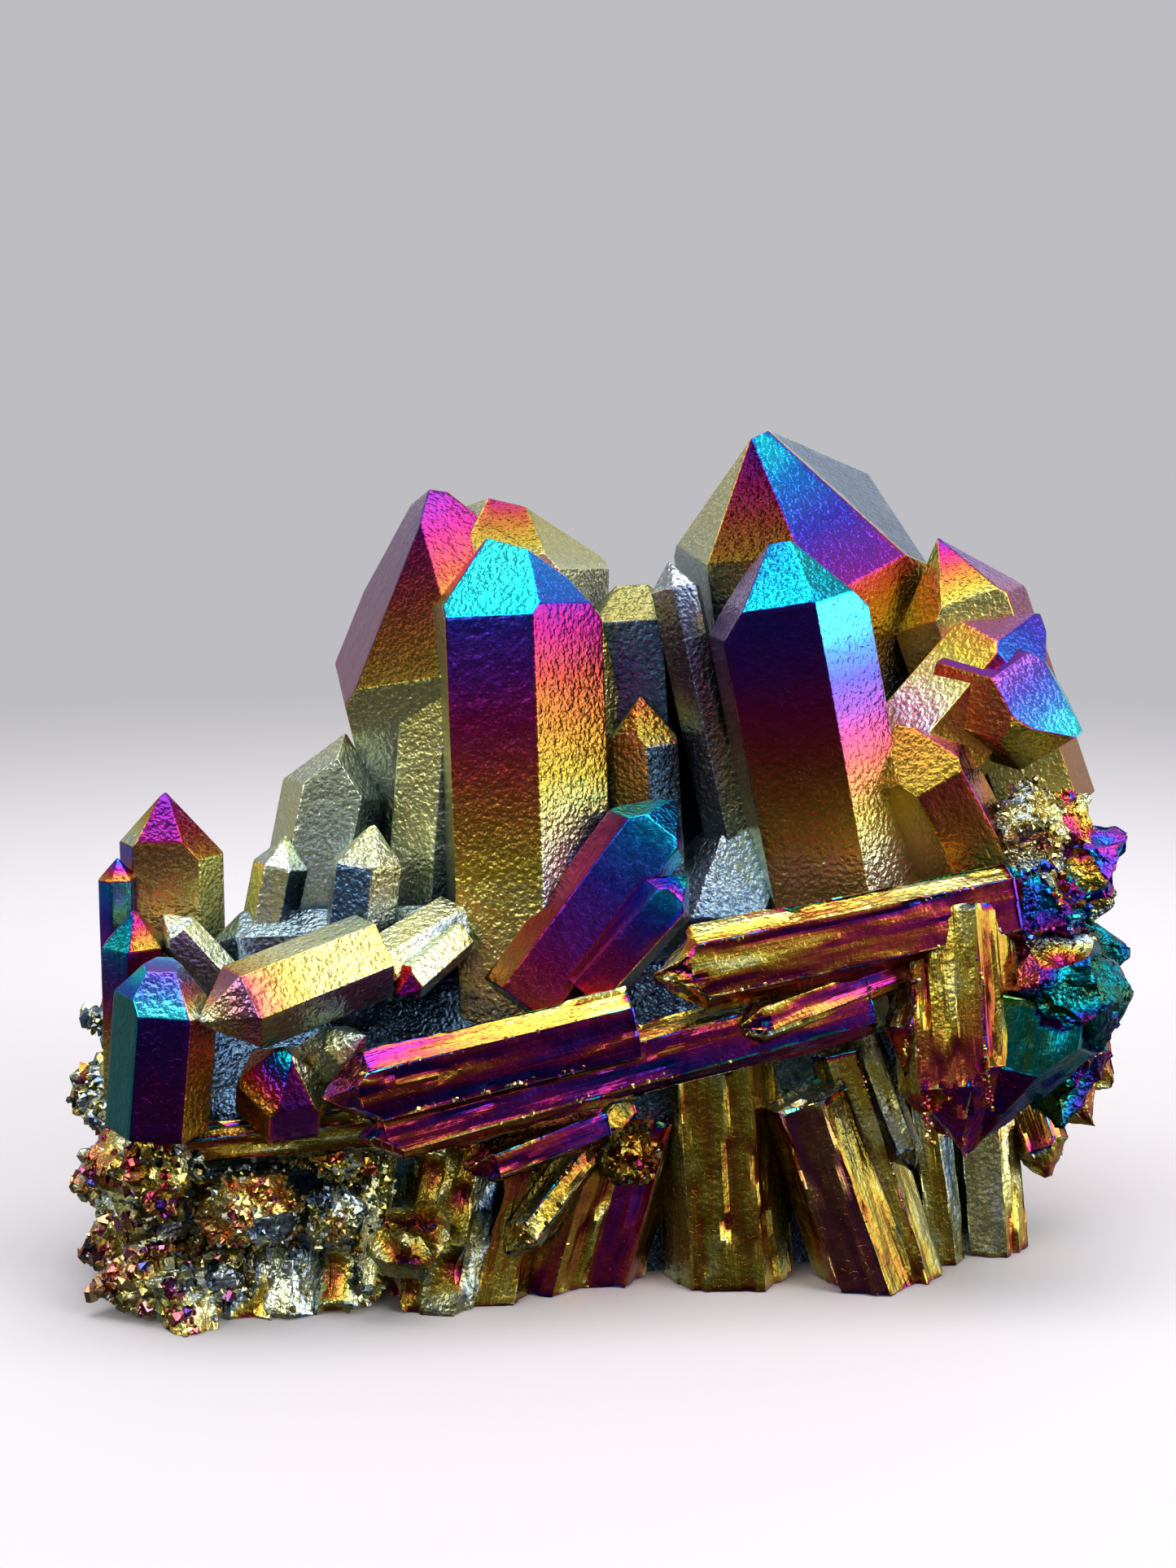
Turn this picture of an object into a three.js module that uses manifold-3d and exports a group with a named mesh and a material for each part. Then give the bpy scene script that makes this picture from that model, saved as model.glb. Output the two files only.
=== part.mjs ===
// Aura quartz cluster: many pointed quartz crystals grown together on one rocky base.
// Millimetres, +Z up. The cluster stands on a flat cut face at z = 0.
import * as THREE from 'three';
import { ConvexGeometry } from 'three/addons/geometries/ConvexGeometry.js';
import { mergeVertices } from 'three/addons/utils/BufferGeometryUtils.js';
import Module from 'manifold-3d';

// Shape of every quartz crystal.
const SIDES_PER_CRYSTAL = 6;
const TIP_SLOPE = THREE.MathUtils.degToRad(51.8);
const SIDE_UNEVEN = 0.07;
const CAP_UNEVEN = 0.07;
const BREAK_LEAN = 0.35;
const CUT_HEIGHT = 0;

// Coat of metal vapour on the stone.
const COAT_COLOR = 0x7a4a78;
const COAT_ROUGHNESS = 0.3;
const COAT_METALNESS = 1.0;

// One line for each crystal: tip, foot, width across the flats, turn of side 0 from the front in degrees.
// sides: distance of each side from the axis, as a share of half the width.
// caps: how far each tip face sits below the full point, in mm; null leaves the face out.
// blunt: how far below the full point the tip is broken off, in mm.
// cuts: broken faces, each a direction and a point on the break.
// A crystal with no sides or caps of its own grows a little unevenly.
const CRYSTALS = [
  // tall crystals at the back
  ['west tower', [-13.5, 6, 65.5], [-3.5, 8.5, 22], 22, -23, {
    sides: [1.18, 1, 1, 1, 1, 1.1],
    caps: [-1.5, 1, 0, -5, -5, null],
    cuts: [[[0.05, 0.3, 0.95], [-12.2, 6, 64.6]], [[-0.875, -0.22, 0.43], [-14.3, 2.9, 62]]],
  }],
  ['west shoulder', [-6.5, 11, 69], [-6.5, 8, 22], 15, 0, { cuts: [[[0.28, 0.45, 0.85], [-11.3, 8, 64]]] }],
  ['east tower', [15.5, 9, 71], [24, 20, 22], 19, -15, {
    sides: [0.96, 1.03, 1.22, 1.34, 0.85, 0.96],
    caps: [-1.3, 1.2, null, -7, 1.5, -1.2],
    cuts: [[[0.62, -0.3, 0.72], [28.4, 9.6, 59]], [[0.28, 0.1, 0.95], [15.6, 8, 70]]],
  }],
  ['thin blade', [7, 3, 59], [14.5, -1.5, 25], 4, 20, {}],
  ['gold back', [4, 9, 59], [5.5, 3.5, 26], 9.5, -8, { caps: [0, 0, 0, 6, 0, 0] }],
  ['north east', [30.5, 9, 61.5], [39.5, 6.5, 36], 10.5, 5, {}],
  ['yellow', [39.5, 3, 54.5], [22.5, -1.5, 35.4], 10, 8, { caps: [0.5, 0, 1, 0, 0.5, 0] }],
  ['cyan', [41.3, -7.5, 45.5], [32, 2, 47.5], 8.4, 0, { caps: [-1, 0, 0, 0, 1, 2.2], blunt: 0.5 }],
  ['east shoulder', [41, 9, 44], [22, 8, 18], 12, 0, { blunt: 2 }],
  // heroes and the crystals between them
  ['hero left', [-6.5, -3, 62.5], [-5, -7.5, 20], 13, -17, {
    sides: [0.98, 1, 1.04, 1, 1, 0.98],
    caps: [0, -1, 0, 0, 0, -1],
    cuts: [[[0.5, 0.55, 0.7], [-7.7, -5, 61.5]]],
  }],
  ['hero right', [15, -4, 62], [23.5, -2.5, 20], 12.3, -21, {
    sides: [0.86, 1.02, 1, 1, 1, 1],
    caps: [-0.6, -1.8, 0, 3.2, 0, 0.5],
  }],
  ['slender', [-11.5, -2, 53.5], [-14, -4, 22], 7, -30, { cuts: [[[0, -0.2, 1], [-14.2, -2, 50]]] }],
  ['recess', [4.5, 0, 48], [6, 0, 25], 6, -30, {}],
  ['leaning', [7.5, -8, 40.5], [-5.5, -15, 24], 6.4, 0, { sides: [0.75, 1, 1, 0.75, 1, 1] }],
  ['companion', [8.5, -12, 34.5], [-0.5, -15, 25], 4.3, 0, {}],
  ['triangle', [25, -5, 46.5], [36, -4, 26], 8.5, 10, {}],
  ['silver', [13.5, 1, 40.5], [13.5, 1.5, 22], 16, 0, { sides: [1, 0.62, 0.8, 0.5, 0.8, 1.05] }],
  ['white', [-20.5, -2, 44.5], [-25, -5, 22], 7.5, 0, { caps: [null, 0, 0, 0, 0, 0] }],
  ['gold white', [-25, -7, 37], [-28, -8, 22], 4.2, 0, {}],
  ['blue gold', [-17.5, -10, 38.5], [-19.5, -11, 22], 5.3, -20, {}],
  // left group
  ['far left', [-35, -5, 40.5], [-35, -5, 14], 7.6, 0, { sides: [0.75, 1, 1, 1, 1, 1] }],
  ['side', [-39, -8, 35], [-39, -8, 14], 3, 20, {}],
  ['stub', [-36.5, -14, 32.5], [-37, -13, 16], 4.5, 30, { blunt: 1 }],
  ['stub ridge', [-34.5, -14, 31.5], [-26, -12, 21], 3.5, 0, {}],
  ['post', [-32, -24, 31.5], [-33.5, -24, 16.5], 6.8, 8, { cuts: [[[0.1, -0.3, 1], [-31.5, -24, 29.5]]] }],
  ['left pointing', [-30.2, -26, 25.2], [-17, -18, 29], 6.2, 20, {}],
  ['small green', [-17, -23, 24], [-22, -20, 20], 4, 0, {}],
  ['small pink', [-23, -24.5, 23.5], [-24, -20, 17], 6.5, 20, {}],
  ['pink end', [-19, -18, 26.5], [-11, -10, 30], 4, 0, { blunt: 1.2 }],
  ['violet tip', [-15.5, -18, 25.5], [-10.5, -12, 29], 3, 0, {}],
  ['plate', [-32.5, -8, 27], [-9.5, -9, 28], 5.5, 0, {}],
  // long bars lying along the front
  ['bar one', [-21, -25, 19], [3.5, -19.5, 23.7], 4.7, -5, { sides: [1, 1.3, 1.2, 1, 1.3, 1.3] }],
  ['bar two', [-18.5, -23.5, 15.5], [22.5, -15, 24.5], 4, 10, { sides: [1, 1.3, 1.3, 1, 1.3, 1.3] }],
  ['bar two flap', [-10.5, -21.5, 12], [1, -16, 15], 4, 0, { blunt: 0.8 }],
  ['bar three', [4.5, -20, 27.5], [34, -14, 32.5], 5, 5, { sides: [1, 1.25, 1.15, 1, 1.3, 1.3] }],
  ['bar three low', [11, -19.5, 23], [28, -13, 27.5], 3.6, 10, { blunt: 1 }],
  ['fan', [31, -17.5, 11], [29.5, -12, 31.5], 10.5, 20, {}],
  ['fan gold', [25, -17.5, 18], [30, -12, 30.5], 5, 0, {}],
  // rough knob and lumps on the right
  ['knob top', [35, -15, 37], [39, -7, 18], 9, 0, { blunt: 2 }],
  ['knob right', [46.5, -9, 27], [32, -7, 25], 9, 0, { blunt: 1.5 }],
  ['knob low', [39.5, -14.5, 12], [37, -7, 27], 9, 0, { blunt: 1.5 }],
  ['knob left', [30.5, -17.5, 26.5], [41, -5, 24], 9, 0, { blunt: 1.5 }],
  ['knob front', [37, -23, 26.5], [40, -2, 24], 10, 0, { blunt: 3.5 }],
  ['lump a', [36.5, -6, 43], [37.5, -3, 28], 8.5, 0, { blunt: 2 }],
  ['lump b', [42.5, -3, 41], [36, -3, 30], 7, 0, { blunt: 1.5 }],
  ['lump c', [47, -4, 36.5], [37, -3, 31], 7, 0, { blunt: 1.5 }],
  ['lump d', [47.5, 2, 29.5], [38, 2, 30], 7, 0, { blunt: 1 }],
  // broken columns and blocks of the base
  ['column a', [12.5, -12, -10], [10.5, -9, 22], 10, 0, {}],
  ['column b', [26, -13, -8.5], [17.5, -12.5, 16], 7, 10, {}],
  ['column c', [29.5, -12.5, -8], [21, -9, 19], 5, 0, {}],
  ['column c bar', [27, -13.5, 9], [23, -9, 20], 3, 0, {}],
  ['column d', [30.5, -8, -4], [28, -7, 14], 4, 0, {}],
  ['block e', [35.5, -5.5, -6.5], [34, -3, 12], 6, 10, {}],
  ['block f', [40, -5, 5.5], [37, 0, 15], 5, 0, { blunt: 0.8 }],
  ['block g', [44.5, -3, 9.5], [38, 1, 17], 5.5, 0, { blunt: 0.8 }],
  ['block h', [47, 0, 12.5], [37, 2, 20], 6, 0, { blunt: 1 }],
  ['red i', [-0.5, -12.5, -6], [5, -11, 14], 6, 0, {}],
  ['red j', [-5.5, -13.5, -6.5], [0, -12, 14], 7, 20, {}],
  ['red rib', [-7, -19.5, 4], [3, -12, 15], 4, 0, { blunt: 0.8 }],
  ['wedge k', [-8.5, -18, -5], [-5.5, -13, 10.5], 5, 0, {}],
  ['block l', [-13.5, -18, -6.5], [-10, -13, 14], 8, 10, {}],
  ['dome m', [-14, -26.5, 6.5], [-14.5, -10, 6], 6.5, 0, { blunt: 1.6, sides: [0.9, 0.8, 1, 0.7, 0.9, 1] }],
  ['spot n', [-17.5, -22.5, 1], [-17, -16, 12], 3, 0, {}],
  ['block o', [-20.5, -20, -3.5], [-19.5, -15, 9], 5, 0, {}],
  ['block p', [-24, -20.5, -3.5], [-23.5, -16, 9], 5, 20, {}],
  ['wedge q', [-27, -21.5, -4], [-26.5, -15, 8], 5, 0, {}],
  ['gem r', [-30, -26.5, -6], [-33, -19, 4], 5, 20, {}],
  ['pink s', [-40.5, -21, 2], [-27, -18, 3], 6, 0, {}],
  ['dome t', [-26.5, -28.5, 10.5], [-28, -12, 8], 9, 0, {
    blunt: 2,
    sides: [0.62, 1.05, 0.9, 0.62, 1, 0.85],
  }],
  ['dome u', [-20.5, -24.5, 8], [-20.5, -12, 8], 7, 15, { blunt: 1.6, sides: [0.7, 1, 0.8, 0.7, 1, 0.9] }],
  ['tooth', [-33, -25, 8.5], [-33.5, -17, 18], 6.5, 20, { blunt: 0.8 }],
  ['shelf', [-35, -21.5, 14], [-16, -20, 15.5], 3.4, 0, {}],
  ['shelf low', [-16, -21, 12.5], [-27, -16, 14], 4, 0, { blunt: 0.8 }],
  ['crust a', [-44, -6, 21], [-34, -6, 20], 6, 0, { blunt: 1 }],
  ['crust b', [-45.5, -8, 15], [-34, -8, 14.5], 9, 0, { blunt: 1.6 }],
  ['crust c', [-45, -10, 7.5], [-34, -10, 8.5], 9, 10, { blunt: 1.6 }],
  ['crust d', [-43, -16, 2.5], [-32, -12, 6], 9, 0, { blunt: 1.4 }],
  ['crust e', [-42, -18, 11], [-32, -12, 11], 7, 0, { blunt: 1.4 }],
  ['hole rim', [3, -19.5, 11], [3.5, -8, 12.5], 5, 0, { blunt: 1.2 }],
  // back of the cluster
  ['back a', [-21, 23, 40], [-10, 8, 15], 9, 12, {}],
  ['back b', [6, 29, 47], [4, 12, 15], 10, -8, {}],
  ['back c', [27, 27, 38], [20, 10, 15], 9, 20, {}],
  ['back d', [-36, 12, 22], [-20, 5, 12], 8, 5, {}],
  ['back e', [43, 12, 30], [28, 6, 14], 9, 15, {}],
  ['back f', [-11, 32, 25], [-4, 14, 12], 8, -15, {}],
  ['back g', [17, 34, 21], [10, 14, 12], 9, 0, {}],
  ['back h', [-30, 26, 15], [-14, 12, 8], 9, 25, {}],
  ['back i', [36, 27, 14], [20, 12, 8], 9, -12, {}],
  ['back j', [-42, 4, 12], [-24, 4, 8], 9, 8, {}],
  ['back k', [4, 31, 9], [4, 14, 7], 8, 18, {}],
  ['back l', [-22, 31, 27], [-12, 14, 14], 7, 30, {}],
  ['back m', [30, 33, 26], [18, 14, 14], 7, -20, {}],
  // broad foot of the fan, under the knob
  ['fan foot', [30.5, -17, 11.5], [33.5, -13, 24], 16, 4, { sides: [0.72, 1, 1, 0.5, 1, 1] }],
];

// Corners of the rocky mass that the crystals grow from, from the cut face up.
const ROCK_CORNERS = [
  [-37, -18, 0], [-20, -16, 0], [0, -11, 0], [22, -9, 0], [32, -4, 0],
  [38, 6, 0], [30, 20, 0], [4, 26, 0], [-24, 20, 0], [-38, 6, 0],
  [-39, -14, 18], [-34, -19, 15], [-20, -18, 17], [5, -15, 19], [28, -9, 20],
  [40, 2, 20], [36, 20, 20], [5, 27, 20], [-30, 19, 18],
  [-30, -12, 25], [0, -12, 26], [24, -8, 29], [33, 4, 30],
  [20, 18, 30], [-10, 18, 28], [-28, 5, 25],
];

const wasm = await Module();
wasm.setup();

function vector(values) {
  return new THREE.Vector3(values[0], values[1], values[2]);
}

// A flat face: outward direction and its distance from the origin.
function flat(normal, point) {
  const direction = normal.clone().normalize();
  return { normal: direction, distance: direction.dot(point) };
}

// Uneven growth: a steady number between -1 and 1 for side k of crystal i.
function uneven(i, k) {
  return Math.sin(2.1 * i + 3.7 * k + 0.4 * i * k);
}

// All flat faces of crystal number i.
function crystalFaces(i, tipAt, footAt, across, turn, extra) {
  const tip = vector(tipAt);
  const foot = vector(footAt);
  const axis = tip.clone().sub(foot).normalize();
  const lyingBack = Math.abs(axis.y) > 0.9;
  const front = lyingBack ? new THREE.Vector3(0, 0, Math.sign(axis.y)) : new THREE.Vector3(0, -1, 0);
  const ahead = front.addScaledVector(axis, -front.dot(axis)).normalize();
  const beside = axis.clone().cross(ahead);
  const faces = [flat(axis.clone().negate(), foot)];
  for (let k = 0; k < SIDES_PER_CRYSTAL; k += 1) {
    const angle = THREE.MathUtils.degToRad(turn + 60 * k);
    const side = ahead.clone().multiplyScalar(Math.cos(angle)).addScaledVector(beside, Math.sin(angle));
    const share = extra.sides ? extra.sides[k] : 1 + SIDE_UNEVEN * uneven(i, k);
    const reach = (across / 2) * share;
    faces.push(flat(side, foot.clone().addScaledVector(side, reach)));
    const drop = extra.caps ? extra.caps[k] : CAP_UNEVEN * across * (1 + uneven(i, k + 2));
    if (drop !== null) {
      const lean = side.clone().multiplyScalar(Math.sin(TIP_SLOPE));
      lean.addScaledVector(axis, Math.cos(TIP_SLOPE));
      faces.push(flat(lean, tip.clone().addScaledVector(axis, -drop)));
    }
  }
  if (extra.blunt) {
    const lean = axis.clone();
    lean.addScaledVector(ahead, BREAK_LEAN * uneven(i, 3));
    lean.addScaledVector(beside, BREAK_LEAN * uneven(i, 5));
    faces.push(flat(lean, tip.clone().addScaledVector(axis, -extra.blunt)));
  }
  for (const [direction, point] of extra.cuts || []) {
    faces.push(flat(vector(direction), vector(point)));
  }
  return faces;
}

// Point shared by three flat faces, or null when they don't meet in one point.
function meeting(a, b, c) {
  const across = b.normal.clone().cross(c.normal);
  const size = a.normal.dot(across);
  if (Math.abs(size) < 1e-6) {
    return null;
  }
  const point = across.multiplyScalar(a.distance);
  point.addScaledVector(c.normal.clone().cross(a.normal), b.distance);
  point.addScaledVector(a.normal.clone().cross(b.normal), c.distance);
  return point.divideScalar(size);
}

// Corners of the convex body that lies behind all the faces.
function corners(faces) {
  const found = [];
  for (let i = 0; i < faces.length; i += 1) {
    for (let j = i + 1; j < faces.length; j += 1) {
      for (let k = j + 1; k < faces.length; k += 1) {
        const point = meeting(faces[i], faces[j], faces[k]);
        const inside = point && faces.every((face) => face.normal.dot(point) <= face.distance + 1e-5);
        if (inside && !found.some((other) => other.distanceTo(point) < 1e-3)) {
          found.push(point);
        }
      }
    }
  }
  return found;
}

function toSolid(geometry) {
  geometry.deleteAttribute('normal');
  geometry.deleteAttribute('uv');
  const merged = mergeVertices(geometry, 1e-4);
  const vertProperties = new Float32Array(merged.attributes.position.array);
  const triVerts = new Uint32Array(merged.index.array);
  return new wasm.Manifold(new wasm.Mesh({ numProp: 3, vertProperties, triVerts }));
}

function toGeometry(solid) {
  const mesh = solid.getMesh();
  const geometry = new THREE.BufferGeometry();
  geometry.setAttribute('position', new THREE.BufferAttribute(new Float32Array(mesh.vertProperties), 3));
  geometry.setIndex(new THREE.BufferAttribute(new Uint32Array(mesh.triVerts), 1));
  geometry.computeVertexNormals();
  return geometry;
}

// The whole cluster as one solid: rock and crystals joined, then cut flat at the bottom.
function clusterSolid() {
  let solid = toSolid(new ConvexGeometry(ROCK_CORNERS.map(vector)));
  CRYSTALS.forEach(([, tip, foot, across, turn, extra], i) => {
    const faces = crystalFaces(i, tip, foot, across, turn, extra);
    solid = solid.add(toSolid(new ConvexGeometry(corners(faces))));
  });
  solid = solid.trimByPlane([0, 0, 1], CUT_HEIGHT);
  const bodies = solid.decompose().sort((a, b) => b.volume() - a.volume());
  return bodies[0];
}

const geometry = toGeometry(clusterSolid());
geometry.computeBoundingBox();
const middle = geometry.boundingBox.getCenter(new THREE.Vector3());
geometry.translate(-middle.x, -middle.y, 0);

const coat = new THREE.MeshStandardMaterial({
  name: 'aura_coat',
  color: COAT_COLOR,
  roughness: COAT_ROUGHNESS,
  metalness: COAT_METALNESS,
});
const cluster = new THREE.Mesh(geometry, coat);
cluster.name = 'quartz_cluster';
const part = new THREE.Group();
part.add(cluster);
export default part;
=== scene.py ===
import math
import random

import bmesh
import bpy
import numpy as np
from mathutils import Matrix, Vector, noise
from mathutils.bvhtree import BVHTree


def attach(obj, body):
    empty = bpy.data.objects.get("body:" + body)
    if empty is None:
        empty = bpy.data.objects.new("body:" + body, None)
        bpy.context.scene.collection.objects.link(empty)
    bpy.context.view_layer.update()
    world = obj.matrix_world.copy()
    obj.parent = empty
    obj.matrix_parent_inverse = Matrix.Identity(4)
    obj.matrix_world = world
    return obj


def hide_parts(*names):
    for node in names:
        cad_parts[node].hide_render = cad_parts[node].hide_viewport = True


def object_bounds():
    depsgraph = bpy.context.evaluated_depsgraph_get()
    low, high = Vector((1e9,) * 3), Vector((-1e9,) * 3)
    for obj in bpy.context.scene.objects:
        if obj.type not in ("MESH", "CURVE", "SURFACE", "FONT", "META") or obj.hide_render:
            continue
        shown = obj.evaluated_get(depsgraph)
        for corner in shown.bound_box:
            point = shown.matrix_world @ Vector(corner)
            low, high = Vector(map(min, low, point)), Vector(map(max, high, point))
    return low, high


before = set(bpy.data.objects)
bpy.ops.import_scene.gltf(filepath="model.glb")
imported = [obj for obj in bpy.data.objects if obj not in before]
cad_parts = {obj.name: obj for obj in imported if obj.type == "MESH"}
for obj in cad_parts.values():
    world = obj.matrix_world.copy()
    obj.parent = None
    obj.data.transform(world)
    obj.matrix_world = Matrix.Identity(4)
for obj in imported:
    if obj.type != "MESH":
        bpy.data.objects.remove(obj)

CAD_BOX = [list(corner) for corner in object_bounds()]

# Lengths are in millimetres on the bench where the cluster is laid out, with the cut face at
# height 0. The finished meshes are moved to the middle of the cluster's box and turned into metres.
MM = 0.001
BOX_MIDDLE = Vector((1.1518, 2.75652, 0.0))
# How far everything stays above the cut face, and where the cluster ends on the left.
BOTTOM_GAP = 0.04
LEFT_END = CAD_BOX[0][0] / MM + BOX_MIDDLE.x

# Shape of every quartz crystal.
TIP_SLOPE = math.radians(51.8)
SIDE_UNEVEN = 0.07
CAP_UNEVEN = 0.07
BREAK_LEAN = 0.35
SHARP_FROM = math.radians(27)
RAW_BLOCK = 4
SAME_PLANE = 1e-4
CLOSE_CORNERS = 0.12
BEVEL_STEPS = 2

# Turn in radians from one to the next, so that a row never lines up.
GOLDEN_TURN = 2.4

# How near to a crystal's face the outside belongs to it.
HOST_REACH = 0.05

# How open a place is to outside light, for painted shade: number of rays, how far they reach, and
# how far out they start.
OPEN_RAYS, OPEN_REACH, OPEN_START = 9, 14.0, 0.35

# Small pointed crystals: moulds, length for a width of 1, share in the ground, points in a batch.
MOULDS, POINT_LENGTH, POINT_IN_GROUND, BATCH = 5, 1.5, 0.8, 80

# Thinnest film of rock that carries points, and thinnest film on a point.
ROCK_POINTS_FROM, POINT_FILM_FROM = 0.06, 0.03

# Film thickness, in hundredths of the rainbow that a growing metal film runs through.
NAVY, STEEL, SILVER, CREAM, GOLD, ORANGE, RED = 0, 7, 14, 22, 31, 39, 46
MAGENTA, VIOLET, INDIGO, AZURE, CYAN, TEAL, GREEN = 53, 60, 68, 76, 84, 92, 100
FILM_COLOURS = (
    (NAVY, (20, 26, 50)), (STEEL, (90, 122, 152)), (SILVER, (190, 207, 207)),
    (CREAM, (214, 216, 150)), (GOLD, (202, 182, 68)), (ORANGE, (198, 132, 56)),
    (RED, (188, 76, 66)), (MAGENTA, (176, 42, 116)), (VIOLET, (120, 42, 162)),
    (INDIGO, (60, 56, 186)), (AZURE, (30, 112, 206)), (CYAN, (22, 205, 226)),
    (TEAL, (52, 180, 160)), (GREEN, (120, 188, 108)),
)

# Colours of the plain surround and of pale film, and the softly glowing panels around the
# cluster: direction, half width in degrees, strength.
SURROUND = (190, 189, 194)
MIST = (176, 172, 178)
GLOWS = (
    ((-0.62, -0.60, 0.50), 20, 3.8),
    ((0.68, -0.52, 0.52), 18, 4.8),
    ((-0.92, -0.1, 0.4), 14, 2.2),
    ((0.12, -0.84, 0.53), 6, 5.0),
    ((-0.12, -0.97, 0.16), 9, 0.7),
)

# Soft lights: name, place, aim, width, height, power, colour.
LIGHTS = (
    ("light_right", (0.55, -0.14, 0.14), (0, 0, 0.03), 0.45, 0.45, 1.6, (1, 0.99, 0.98)),
    ("light_above", (0.04, -0.06, 0.55), (0.04, -0.06, 0.03), 0.6, 0.3, 2.3, (1, 1, 1)),
    ("light_back", (0.1, 0.6, 0.3), (0, 0, 0.03), 0.8, 0.4, 0.7, (0.95, 0.95, 1)),
)

# Looks of the film: name, how much the thickness wanders, size of its patches, its change from one
# growth line to the next, depth of the hammered finish, roughness, and change from grain to grain.
FILM_LOOKS = {
    "waves": ("aura_film", 0.03, 6.0, 0.01, 0.10, 0.20, 0.03),
    "splinters": ("aura_film_on_splintered_quartz", 0.07, 4.0, 0.14, 0.06, 0.17, 0.04),
    "lumps": ("aura_film_on_rough_quartz", 0.09, 4.5, 0.0, 0.20, 0.17, 0.05),
    "points": ("aura_film_on_small_points", 0.05, 2.0, 0.0, 0.02, 0.10, 0.05),
}
FLATS_PER_MM = 2.2

# Where the view is taken from on the bench, how it is tilted, and its lens.
EYE, EYE_TILT = (0, -200, 71.4), math.radians(81)
SENSOR_WIDTH, LENS = 36, 54.18

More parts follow.
